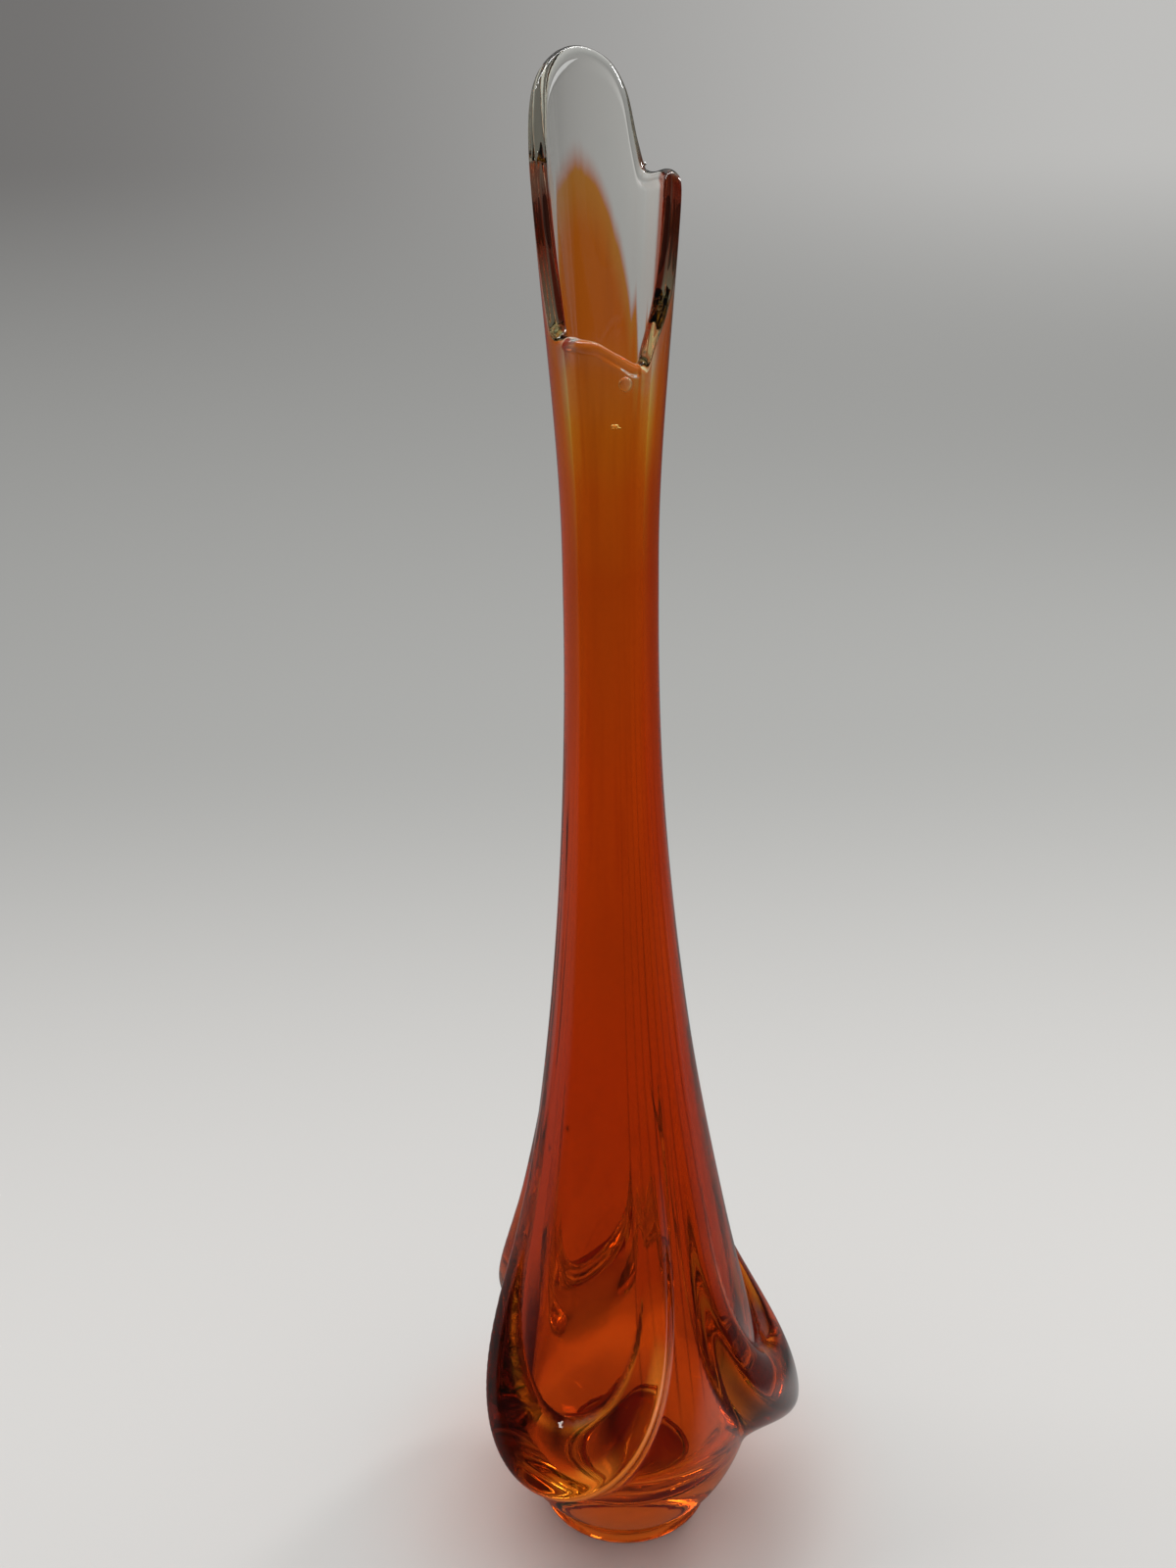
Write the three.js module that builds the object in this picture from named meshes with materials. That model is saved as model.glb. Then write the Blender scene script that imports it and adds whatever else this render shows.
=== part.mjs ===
// A tall swung glass vase: a pressed bowl with three draped foils, stretched up into a slim neck
// that ends in three petals of unlike height. Millimetres, +Z up. The origin is the middle of the
// flat foot, and azimuths turn from the front (-Y) towards the right (+X).
import * as THREE from 'three';

const degree = Math.PI / 180;
const fullTurn = 2 * Math.PI;
const { clamp, lerp, smoothstep } = THREE.MathUtils;

// Foot
const footRadius = 30;
const footHeight = 5.5;
const footEdgeRound = 1.3;

// Outer body, without its foils
const waistRadius = 27;
const bellyRadius = 46.3;
const bellyHeight = 46.7;
const neckRadius = 14;
const neckHeight = 340.4;
const neckStraightLength = 16;
const mouthRadius = 21.2;
const bellyRoundness = 1.6;
const taperPower = 0.641;

// Foils: each is a dished panel with a thick rolled lip round its lower end. The swing left them unevenly
// apart, and stretched two of them further down than the front one.
const foilAzimuths = [-28 * degree, 90 * degree, 202 * degree];
const foilStretchShares = [1, 1.065, 1.065];
const lipBottomHeight = 32.9;
const lipDrop = 39;
const dishLength = 55.6;
const dishHalfAngle = 35.8 * degree;
const lipAngle = 19.7 * degree;
const noseReach = 16.8;
const legRise = 1.8;
const creaseReach = 4.7;
const dishDepth = 2;
const reliefFullHeight = 45;
const reliefFadeLength = 158;
const lipPeakShare = 0.65;
const lipRoundness = 1.6;
const nosePower = 0.9;
const undersidePower = 1.5;

// Hollow
const floorHeight = 19;
const floorRoundHeight = 24;
const bowlWall = 8;
const neckWall = 4.6;
const wallThinHeight = 240;

// Lean of the drawn glass, which starts at the foils' shoulders
const leanReach = -1.85;
const leanLength = 180;

// Rim: its lowest point, the tip of its tallest petal above that, and how much of this rise the rim
// has at each share of a turn. The petals part at three of these places.
const lowestRimHeight = 415.7;
const tipRise = 78.3;
const rightDipShare = 0.103;
const backDipShare = 0.401;
const leftDipShare = 0.82;
const rimAzimuthShares = [
  [rightDipShare, 0],
  [0.128, 0.075],
  [0.178, 0.21],
  [0.222, 0.35],
  [0.253, 0.56],
  [0.297, 0.61],
  [backDipShare, 0.6],
  [0.427, 0.7],
  [0.453, 0.86],
  [0.497, 0.96],
  [0.578, 1],
  [0.66, 0.94],
  [0.713, 0.82],
  [0.758, 0.59],
  [0.794, 0.31],
  [leftDipShare, 0.125],
  [0.897, 0.09],
  [0.96, 0.08],
  [1.023, 0.04],
];

// Level cuts between the zones of the glass
const baseFloorRise = 5;
const shoulderLength = 51;
const petalFootDrop = 11.7;

// Places that follow from these sizes
const tipHeight = lowestRimHeight + tipRise;
const flareStartHeight = neckHeight + neckStraightLength;
const dishBottomHeight = lipBottomHeight + lipDrop;
const foilShoulderHeight = dishBottomHeight + dishLength;
const lipHalfAngle = dishHalfAngle + lipAngle;
const reliefEndHeight = reliefFullHeight + reliefFadeLength;
const leanEndHeight = foilShoulderHeight + leanLength;
const foilBaseHeight = floorHeight + baseFloorRise;
const neckBaseHeight = foilShoulderHeight + shoulderLength;
const petalBaseHeight = lowestRimHeight - petalFootDrop;

// Steps of the meshes
const dishRings = 4;
const lipRings = 7;
const beltRings = 3;
const bottomRays = 20;
const seamRaySteps = 8;
const seamRayPower = 1.6;
const shoulderRows = 6;
const shoulderInnerRows = 3;
const neckRows = 10;
const neckInnerRows = 6;
const petalColumnAngle = 6.5 * degree;
const petalRows = 7;
const rimSteps = 6;
const latheColumns = 42;
const undersideRows = 6;
const undersideRowPower = 1.5;
const floorRowPower = 2;
const edgeSteps = 3;

// How far along a rounded quarter a share of the way lies
function roundedRise(share, power) {
  return (1 - (1 - share) ** power) ** (1 / power);
}

// Radius of the outer body at a height, where no foil stands out
function bodyRadius(z) {
  if (z < bellyHeight) {
    const rise = clamp((z - footHeight) / (bellyHeight - footHeight), 0, 1);
    return lerp(waistRadius, bellyRadius, roundedRise(rise, bellyRoundness));
  }
  if (z < neckHeight) {
    const climb = ((z - bellyHeight) / (neckHeight - bellyHeight)) ** taperPower;
    return lerp(bellyRadius, neckRadius, smoothstep(climb, 0, 1));
  }
  return lerp(neckRadius, mouthRadius, smoothstep(z, flareStartHeight, tipHeight));
}

// Wall between the hollow and the plain body
function wallAt(z) {
  return lerp(bowlWall, neckWall, smoothstep(z, bellyHeight, wallThinHeight));
}

// Radius of the hollow: a rounded floor, then the body less its wall
function hollowRadius(z) {
  const rise = clamp((z - floorHeight) / floorRoundHeight, 0, 1);
  return (bodyRadius(z) - wallAt(z)) * roundedRise(rise, 2);
}

// Sideways place of the middle of the glass
function leanAt(z) {
  return leanReach * smoothstep(z, foilShoulderHeight, leanEndHeight);
}

// How deep below the shoulder a height lies on a foil, as a share of the way to the bottom of one of its Us
function depthShare(index, z, bottom) {
  const depth = foilStretchShares[index] * (foilShoulderHeight - bottom);
  return Math.max(foilShoulderHeight - z, 0) / depth;
}

// Reach of the rolled lip, from the crease of the dish (0) over its crest to its outer edge (1)
function lipReach(across, crease, crest) {
  if (across < lipPeakShare) {
    return lerp(crease, crest, roundedRise(across / lipPeakShare, lipRoundness));
  }
  const down = (across - lipPeakShare) / (1 - lipPeakShare);
  return crest * Math.max(Math.cos((Math.PI / 2) * down), 0) ** undersidePower;
}

// How far a foil stands out of the body, at an angle from its middle and a height
function foilRelief(index, angle, z) {
  const low = depthShare(index, z, dishBottomHeight);
  const inner = Math.hypot(angle / dishHalfAngle, low);
  const outer = Math.hypot(angle / lipHalfAngle, depthShare(index, z, lipBottomHeight));
  const fade = 1 - smoothstep(z, reliefFullHeight, reliefEndHeight);
  if (outer >= 1) {
    return 0;
  }
  if (inner <= 1) {
    return (creaseReach - dishDepth * (1 - inner ** 2)) * fade;
  }
  const towardsNose = ((low / inner) ** 2) ** nosePower;
  const crest = lerp((creaseReach + legRise) * fade, noseReach, towardsNose);
  return lipReach((inner - 1) / (inner - outer), creaseReach * fade, crest);
}

// Radius of the glass outside, where the foil that stands out furthest counts
function outerRadius(azimuth, z) {
  const reliefs = foilAzimuths.map((middle, index) => {
    const angle = THREE.MathUtils.euclideanModulo(azimuth - middle + Math.PI, fullTurn) - Math.PI;
    return foilRelief(index, angle, z);
  });
  return bodyRadius(z) + Math.max(...reliefs);
}

// Slope of the rim at one of its places, from the places on both sides
function rimSlope(before, after) {
  return (after[1] - before[1]) / (after[0] - before[0]);
}

// Height of the rim at an azimuth: a smooth closed curve through its places
function rimHeight(azimuth) {
  const places = rimAzimuthShares;
  const count = places.length;
  const start = places[0][0];
  const share = start + THREE.MathUtils.euclideanModulo(azimuth / fullTurn - start, 1);
  const place = (index) => {
    const turns = Math.floor(index / count);
    const [at, height] = places[index - turns * count];
    return [at + turns, height];
  };
  let index = 0;
  while (place(index + 1)[0] < share) {
    index += 1;
  }
  const [before, from, to, after] = [index - 1, index, index + 1, index + 2].map(place);
  const span = to[0] - from[0];
  const t = (share - from[0]) / span;
  const rise = (3 - 2 * t) * t ** 2 * (to[1] - from[1]);
  const leave = t * (1 - t) ** 2 * span * rimSlope(before, to);
  const arrive = t ** 2 * (1 - t) * span * rimSlope(from, after);
  return lerp(lowestRimHeight, tipHeight, from[1] + rise + leave - arrive);
}

// Evenly placed values from one to another
function spread(low, high, steps) {
  return Array.from({ length: steps + 1 }, (_, step) => lerp(low, high, step / steps));
}

// Section of the wall at an azimuth, up the outside and down the hollow, as radius and height
function wallSection(azimuth, outerHeights, innerHeights) {
  const outside = outerHeights.map((z) => new THREE.Vector2(outerRadius(azimuth, z), z));
  const inside = innerHeights.map((z) => new THREE.Vector2(hollowRadius(z), z));
  return [...outside, ...inside.reverse()];
}

// Section of a petal, with its fire-polished round rim
function petalSection(azimuth) {
  const rimRound = neckWall / 2;
  const shoulder = rimHeight(azimuth) - rimRound;
  const rows = spread(petalBaseHeight, shoulder, petalRows);
  const middle = outerRadius(azimuth, shoulder) - rimRound;
  const rim = [];
  for (let step = 1; step < rimSteps; step += 1) {
    const angle = (Math.PI * step) / rimSteps;
    rim.push(new THREE.Vector2(middle + rimRound * Math.cos(angle), shoulder + rimRound * Math.sin(angle)));
  }
  const outside = rows.map((z) => new THREE.Vector2(outerRadius(azimuth, z), z));
  const inside = rows.map((z) => new THREE.Vector2(hollowRadius(z), z));
  return [...outside, ...rim, ...inside.reverse()];
}

// Place of a section's point in space
function inSpace(azimuth, point) {
  return [leanAt(point.y) + point.x * Math.sin(azimuth), -point.x * Math.cos(azimuth), point.y];
}

// Solid from its points and three-cornered faces
function solid(positions, faces) {
  const geometry = new THREE.BufferGeometry();
  geometry.setAttribute('position', new THREE.Float32BufferAttribute(positions, 3));
  geometry.setIndex(faces);
  geometry.computeVertexNormals();
  return geometry;
}

// Closed body through a row of sections; a full ring joins its last section to its first
function loft(azimuths, sectionAt, isRing) {
  const sections = azimuths.map(sectionAt);
  const size = sections[0].length;
  const positions = azimuths.flatMap((azimuth, i) => sections[i].flatMap((point) => inSpace(azimuth, point)));
  const faces = [];
  const strips = isRing ? azimuths.length : azimuths.length - 1;
  for (let i = 0; i < strips; i += 1) {
    const here = i * size;
    const next = ((i + 1) % azimuths.length) * size;
    for (let j = 0; j < size; j += 1) {
      const up = (j + 1) % size;
      faces.push(here + j, next + j, next + up);
      faces.push(here + j, next + up, here + up);
    }
  }
  if (!isRing) {
    const last = (azimuths.length - 1) * size;
    THREE.ShapeUtils.triangulateShape(sections[0], []).forEach(([a, b, c]) => faces.push(a, b, c));
    THREE.ShapeUtils.triangulateShape(sections.at(-1), []).forEach(([a, b, c]) => {
      faces.push(last + a, last + c, last + b);
    });
  }
  return solid(positions, faces);
}

// Round solid turned about the upright axis
function turned(points) {
  return new THREE.LatheGeometry(points, latheColumns).rotateX(Math.PI / 2);
}

// Quarter round of an edge, about its own centre
function edgeRound(centre, from) {
  return Array.from({ length: edgeSteps + 1 }, (_, step) => {
    const angle = from + (Math.PI / 2) * (step / edgeSteps);
    const out = new THREE.Vector2(Math.cos(angle), Math.sin(angle)).multiplyScalar(footEdgeRound);
    return out.add(centre);
  });
}

// Low disc that the vase stands on, flat below
function foot() {
  const edge = footRadius - footEdgeRound;
  return turned([
    new THREE.Vector2(0, 0),
    ...edgeRound(new THREE.Vector2(edge, footEdgeRound), -Math.PI / 2),
    ...edgeRound(new THREE.Vector2(edge, footHeight - footEdgeRound), 0),
    new THREE.Vector2(0, footHeight),
  ]);
}

// Thick bottom of the bowl, with the rounded floor of the hollow in it
function bowlBase() {
  const shares = spread(0, 1, undersideRows);
  const underside = shares.map((share) => lerp(footHeight, foilBaseHeight, share ** undersideRowPower));
  const floor = shares.map((share) => lerp(floorHeight, foilBaseHeight, share ** floorRowPower));
  return turned([
    new THREE.Vector2(0, footHeight),
    ...underside.map((z) => new THREE.Vector2(bodyRadius(z), z)),
    ...floor.reverse().map((z) => new THREE.Vector2(hollowRadius(z), z)),
  ]);
}

// Angle from the middle of a foil to the seam on one side of it, midway to the next foil
function seamAngle(index, side) {
  const count = foilAzimuths.length;
  const next = foilAzimuths[(index + side + count) % count];
  return (side * THREE.MathUtils.euclideanModulo(side * (next - foilAzimuths[index]), fullTurn)) / 2;
}

// Angles of the columns on one side of a foil's middle at its shoulder, out to its lip's outer edge
function columnAngles(side) {
  const dish = spread(0, dishHalfAngle, dishRings).slice(1);
  const lip = spread(dishHalfAngle, lipHalfAngle, lipRings).slice(1);
  return [...dish, ...lip].map((angle) => side * angle);
}

// Rays from the middle of a foil's shoulder down and out to the seam on one side of it. They meet the seam at
// heights that lie closer together near its lower end, where the bowl is most curved.
function seamRays(index, side) {
  return spread(0, 1, seamRaySteps).map((share) => {
    const height = lerp(foilBaseHeight, foilShoulderHeight, share ** seamRayPower);
    return Math.atan2(seamAngle(index, side) / lipHalfAngle, depthShare(index, height, lipBottomHeight));
  });
}

// All rays of a foil, from its left side through the bottom to its right side
function foilRays(index) {
  const left = seamRays(index, -1).reverse();
  const right = seamRays(index, 1);
  const bottom = spread(left.at(-1), right[0], bottomRays).slice(1, -1);
  return [...left, ...bottom, ...right];
}

// Place on a foil where a ray meets a U, as angle from the foil's middle and height
function placeOnU(index, ray, halfAngle, bottom) {
  const depth = foilStretchShares[index] * (foilShoulderHeight - bottom) * Math.cos(ray);
  return new THREE.Vector2(halfAngle * Math.sin(ray), foilShoulderHeight - depth);
}

// Places along a ray: over the dish, the lip, and the belt of bowl out to the seam or the cut below
function placesAlong(index, ray) {
  const middle = new THREE.Vector2(0, foilShoulderHeight);
  const crease = placeOnU(index, ray, dishHalfAngle, dishBottomHeight);
  const edge = placeOnU(index, ray, lipHalfAngle, lipBottomHeight);
  const toSeam = seamAngle(index, Math.sign(ray) || 1) / (edge.x || Number.EPSILON);
  const toCut = (foilShoulderHeight - foilBaseHeight) / Math.max(foilShoulderHeight - edge.y, Number.EPSILON);
  const border = edge.clone().sub(middle).multiplyScalar(Math.min(toSeam, toCut)).add(middle);
  const between = (from, to, rings) => {
    return spread(0, 1, rings).slice(1).map((share) => from.clone().lerp(to, share));
  };
  const dish = between(middle, crease, dishRings);
  const lip = between(crease, edge, lipRings);
  return [...dish, ...lip, ...between(edge, border, beltRings)];
}

// A third of the bowl from seam to seam: its mesh follows the two U-shaped curves of its foil
function foil(index) {
  const rays = foilRays(index).map((ray) => placesAlong(index, ray));
  const places = [new THREE.Vector2(0, foilShoulderHeight), ...rays.flat()];
  const rings = rays[0].length;
  const at = (ray, ring) => (ring === 0 ? 0 : 1 + ray * rings + ring - 1);
  const outside = [];
  for (let ray = 0; ray < rays.length - 1; ray += 1) {
    outside.push([0, at(ray, 1), at(ray + 1, 1)]);
    for (let ring = 1; ring < rings; ring += 1) {
      outside.push([at(ray, ring), at(ray, ring + 1), at(ray + 1, ring + 1)]);
      outside.push([at(ray, ring), at(ray + 1, ring + 1), at(ray + 1, ring)]);
    }
  }
  const outwards = rays[0].map((_, ring) => at(0, ring));
  const round = rays.map((_, ray) => at(ray, rings));
  const back = rays[0].map((_, ring) => at(rays.length - 1, ring)).slice(1).reverse();
  return shell(foilAzimuths[index], places, outside, [...outwards, ...round, ...back]);
}

// Closed wall from its outside faces: the same places on the hollow behind them, and a strip round the border
function shell(azimuth, places, outside, border) {
  const onWall = (radiusAt) => places.flatMap(({ x, y }) => {
    return inSpace(azimuth + x, new THREE.Vector2(radiusAt(azimuth + x, y), y));
  });
  const behind = places.length;
  const faces = [...outside, ...outside.map(([a, b, c]) => [a + behind, c + behind, b + behind])];
  border.forEach((here, step) => {
    const next = border[(step + 1) % border.length];
    faces.push([next, here, here + behind]);
    faces.push([next, here + behind, next + behind]);
  });
  return solid([...onWall(outerRadius), ...onWall((_, z) => hollowRadius(z))], faces.flat());
}

// Azimuths of the columns that run from the foils up the glass, once round
function columnAzimuths() {
  return foilAzimuths.flatMap((middle, index) => {
    const angles = [seamAngle(index, -1), ...columnAngles(-1).reverse(), 0, ...columnAngles(1)];
    return angles.map((angle) => middle + angle);
  });
}

// Full round of the drawn glass between two level cuts
function drawnRing(low, high, outerRows, innerRows) {
  const outer = spread(low, high, outerRows);
  const inner = spread(low, high, innerRows);
  return loft(columnAzimuths(), (azimuth) => wallSection(azimuth, outer, inner), true);
}

// Tapered ring above the foils, with their legs on it
function shoulder() {
  return drawnRing(foilShoulderHeight, neckBaseHeight, shoulderRows, shoulderInnerRows);
}

// Slim drawn neck, open through its length
function neck() {
  return drawnRing(neckBaseHeight, petalBaseHeight, neckRows, neckInnerRows);
}

// One petal of the mouth, between two dips of the rim
function petal(fromShare, toShare) {
  const span = (toShare - fromShare) * fullTurn;
  const columns = Math.round(span / petalColumnAngle);
  const azimuths = spread(fromShare * fullTurn, fromShare * fullTurn + span, columns);
  return loft(azimuths, petalSection, false);
}

const redOrangeGlass = { color: 0xb8340a, roughness: 0.05, metalness: 0, transparent: true, opacity: 0.8 };
const amberGlass = { color: 0xc8641a, roughness: 0.05, metalness: 0, transparent: true, opacity: 0.8 };
const clearGlass = { color: 0xd8dccb, roughness: 0.05, metalness: 0, transparent: true, opacity: 0.45 };

const vase = new THREE.Group();

function addPiece(name, geometry, finish) {
  const piece = new THREE.Mesh(geometry, new THREE.MeshStandardMaterial(finish));
  piece.name = name;
  vase.add(piece);
}

addPiece('foot_disc', foot(), amberGlass);
addPiece('bowl_base', bowlBase(), redOrangeGlass);
addPiece('foil_front', foil(0), redOrangeGlass);
addPiece('foil_right', foil(1), redOrangeGlass);
addPiece('foil_back', foil(2), redOrangeGlass);
addPiece('shoulder', shoulder(), redOrangeGlass);
addPiece('neck', neck(), redOrangeGlass);
addPiece('petal_right', petal(rightDipShare, backDipShare), clearGlass);
addPiece('petal_back', petal(backDipShare, leftDipShare), clearGlass);
addPiece('petal_front', petal(leftDipShare, rightDipShare + 1), clearGlass);

export default vase;
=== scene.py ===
import math

import bpy
import numpy as np
from mathutils import Matrix, Vector


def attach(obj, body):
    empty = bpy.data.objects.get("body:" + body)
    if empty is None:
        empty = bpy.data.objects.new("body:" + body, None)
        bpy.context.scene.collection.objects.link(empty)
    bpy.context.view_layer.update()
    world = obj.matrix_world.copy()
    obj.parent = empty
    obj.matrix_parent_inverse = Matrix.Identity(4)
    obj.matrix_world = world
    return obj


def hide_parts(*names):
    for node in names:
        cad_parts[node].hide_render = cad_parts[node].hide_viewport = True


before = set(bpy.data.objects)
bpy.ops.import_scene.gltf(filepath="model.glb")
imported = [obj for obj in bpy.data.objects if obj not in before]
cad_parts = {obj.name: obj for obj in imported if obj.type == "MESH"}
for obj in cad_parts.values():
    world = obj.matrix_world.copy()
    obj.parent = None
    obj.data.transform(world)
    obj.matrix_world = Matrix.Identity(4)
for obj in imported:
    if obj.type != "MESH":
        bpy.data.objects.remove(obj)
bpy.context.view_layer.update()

# Sizes of the glass in metres, azimuths from the front (-Y) towards the right (+X)
FOOT_RADIUS = 0.030
FOOT_HEIGHT = 0.0055
FOOT_EDGE_ROUND = 0.0013
WAIST_RADIUS = 0.027
BELLY_RADIUS = 0.0463
BELLY_HEIGHT = 0.0467
BELLY_ROUNDNESS = 1.6
NECK_RADIUS = 0.0140
NECK_HEIGHT = 0.3404
FLARE_START = 0.3564
PETAL_START = 0.404
MOUTH_RADIUS = 0.0212
TIP_HEIGHT = 0.494
TAPER_POWER = 0.641

# Foils: dished panels with a thick rolled lip, set unevenly apart and stretched unlike
FOIL_AZIMUTHS = np.radians([-28, 90, 202])
FOIL_STRETCHES = np.array([1, 1.065, 1.065])
FRONT_FOIL = 0
LIP_BOTTOM = 0.0329
DISH_BOTTOM = 0.0719
FOIL_SHOULDER = 0.1275
DISH_HALF_ANGLE = math.radians(35.8)
LIP_HALF_ANGLE = math.radians(55.5)
NOSE_REACH = 0.0162
LEG_RISE = 0.0018
CREASE_REACH = 0.0047
DISH_DEPTH = 0.002
RELIEF_FULL = 0.045
RELIEF_END = 0.203
LIP_PEAK_SHARE = 0.65
LIP_ROUNDNESS = 1.6
NOSE_POWER = 0.9
UNDERSIDE_POWER = 1.5

# Draw lines that run up the neck from the edges of the foils
DRAW_LINE_HEIGHT = 0.00022
DRAW_LINE_HALF_ANGLE = math.radians(3.2)
DRAW_LINE_START = 0.10
DRAW_LINE_END = 0.33

# Hollow
FLOOR_HEIGHT = 0.019
FLOOR_ROUND = 0.024
BOWL_WALL = 0.008
NECK_WALL = 0.0046
WALL_THIN_HEIGHT = 0.240

# Lean of the drawn glass
LEAN_REACH = -0.00185
LEAN_END = 0.3075

# Rim: how far up from its lowest point to the tip it stands at each share of a turn, and the bead inside it
LOWEST_RIM = 0.4157
RIM_SHARES = np.array([
    [0.103, 0], [0.128, 0.075], [0.178, 0.21], [0.222, 0.35], [0.253, 0.56], [0.297, 0.61], [0.401, 0.6],
    [0.427, 0.7], [0.453, 0.86], [0.497, 0.96], [0.578, 1], [0.66, 0.94], [0.713, 0.82], [0.758, 0.59],
    [0.794, 0.31], [0.82, 0.125], [0.897, 0.09], [0.96, 0.08], [1.023, 0.04],
])
RIM_BEAD = 0.0004
RIM_BEAD_START = 0.0005
RIM_BEAD_LENGTH = 0.0016

# Air bubbles in the wall, as azimuth in degrees, height, width, length and thickness; the first lies in the
# pale spot
BUBBLES = (
    (16.8, 0.4107, 0.0036, 0.0040, 0.0006),
    (5.5, 0.3992, 0.0022, 0.0009, 0.0008),
    (8.8, 0.3986, 0.0018, 0.0006, 0.0006),
    (3.5, 0.3985, 0.0009, 0.0007, 0.0006),
    (-2.4, 0.1344, 0.0010, 0.0012, 0.0008),
    (143.9, 0.4639, 0.0010, 0.0010, 0.0008),
)
BUBBLE_SEGMENTS = 20

# Steps of the glass mesh; its rows lie closer together by a power of their number, near the foot and the rim
COLUMNS = 270
UNDERSIDE_RINGS = (0.25, 0.5, 0.75, 0.9)
FOOT_EDGE_STEPS = 6
BOWL_ROWS = 16
FOIL_ROWS = 110
NECK_ROWS = 72
PETAL_ROWS = 22
RIM_ROWS = 12
INNER_PETAL_ROWS = 24
INNER_NECK_ROWS = 44
INNER_BOWL_ROWS = 30
FLOOR_ROWS = 16
CLOSENESS_POWER = 1.5

# Keeps a share from dividing by nothing
TINY = 1e-9


def lerp(low, high, share):
    return low + (high - low) * share


def smooth(value, low, high):
    """0 at low, 1 at high and a soft step between them; low may lie above high."""
    share = np.clip((value - low) / (high - low), 0, 1)
    return share * share * (3 - 2 * share)


def rounded_rise(share, power):
    return (1 - (1 - share) ** power) ** (1 / power)


def body_radius(z):
    """Radius of the outer body where no foil stands out."""
    rise = np.clip((z - FOOT_HEIGHT) / (BELLY_HEIGHT - FOOT_HEIGHT), 0, 1)
    low = lerp(WAIST_RADIUS, BELLY_RADIUS, rounded_rise(rise, BELLY_ROUNDNESS))
    climb = np.clip((z - BELLY_HEIGHT) / (NECK_HEIGHT - BELLY_HEIGHT), 0, 1) ** TAPER_POWER
    middle = lerp(BELLY_RADIUS, NECK_RADIUS, smooth(climb, 0, 1))
    high = lerp(NECK_RADIUS, MOUTH_RADIUS, smooth(z, FLARE_START, TIP_HEIGHT))
    return np.where(z < BELLY_HEIGHT, low, np.where(z < NECK_HEIGHT, middle, high))


def hollow_radius(z):
    wall = lerp(BOWL_WALL, NECK_WALL, smooth(z, BELLY_HEIGHT, WALL_THIN_HEIGHT))
    rise = np.clip((z - FLOOR_HEIGHT) / FLOOR_ROUND, 0, 1)
    return (body_radius(z) - wall) * rounded_rise(rise, 2)


def lean_at(z):
    return LEAN_REACH * smooth(z, FOIL_SHOULDER, LEAN_END)


def angle_from(azimuth, middle):
    return np.mod(azimuth - middle + np.pi, 2 * np.pi) - np.pi


def depth_share(z, bottom, stretch):
    return np.maximum(FOIL_SHOULDER - z, 0) / (FOIL_SHOULDER - bottom) / stretch


def foil_places(angle, z, stretch):
    """Where a place lies on a foil: how far out in the dish and in the whole foil, with 1 at the crease and
    at the outer edge, how far across the lip between them, and how far round to the nose at its foot."""
    low = depth_share(z, DISH_BOTTOM, stretch)
    inner = np.hypot(angle / DISH_HALF_ANGLE, low)
    outer = np.hypot(angle / LIP_HALF_ANGLE, depth_share(z, LIP_BOTTOM, stretch))
    across = np.clip((inner - 1) / np.maximum(inner - outer, TINY), 0, 1)
    return inner, outer, across, low / np.maximum(inner, TINY)


def lip_reach(across, crease, crest):
    """Reach of the rolled lip from the crease of the dish (0) over its crest to its outer edge (1)."""
    up = lerp(crease, crest, rounded_rise(np.minimum(across / LIP_PEAK_SHARE, 1), LIP_ROUNDNESS))
    down = np.clip((across - LIP_PEAK_SHARE) / (1 - LIP_PEAK_SHARE), 0, 1)
    under = crest * np.maximum(np.cos(np.pi / 2 * down), 0) ** UNDERSIDE_POWER
    return np.where(across < LIP_PEAK_SHARE, up, under)


def foil_relief(angle, z, stretch):
    """How far a foil stands out of the body, at an angle from its middle."""
    inner, outer, across, nose = foil_places(angle, z, stretch)
    fade = 1 - smooth(z, RELIEF_FULL, RELIEF_END)
    dish = (CREASE_REACH - DISH_DEPTH * (1 - np.minimum(inner, 1) ** 2)) * fade
    crest = lerp((CREASE_REACH + LEG_RISE) * fade, NOSE_REACH, nose ** (2 * NOSE_POWER))
    lip = lip_reach(across, CREASE_REACH * fade, crest)
    return np.where(outer >= 1, 0, np.where(inner <= 1, dish, lip))


def draw_lines(angle, z):
    """Fine ridges that the swing drew out of the edges of each foil."""
    fade = smooth(z, DRAW_LINE_START, RELIEF_END) * (1 - smooth(z, RELIEF_END, DRAW_LINE_END))
    ridges = sum(
        np.exp(-((np.abs(angle) - edge) / DRAW_LINE_HALF_ANGLE) ** 2)
        for edge in (DISH_HALF_ANGLE, LIP_HALF_ANGLE)
    )
    return DRAW_LINE_HEIGHT * ridges * fade


def outer_radius(azimuth, z):
    reliefs, lines = [], []
    for middle, stretch in zip(FOIL_AZIMUTHS, FOIL_STRETCHES):
        angle = angle_from(azimuth, middle)
        reliefs.append(foil_relief(angle, z, stretch))
        lines.append(draw_lines(angle, z))
    return body_radius(z) + np.max(reliefs, axis=0) + np.max(lines, axis=0)


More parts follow.
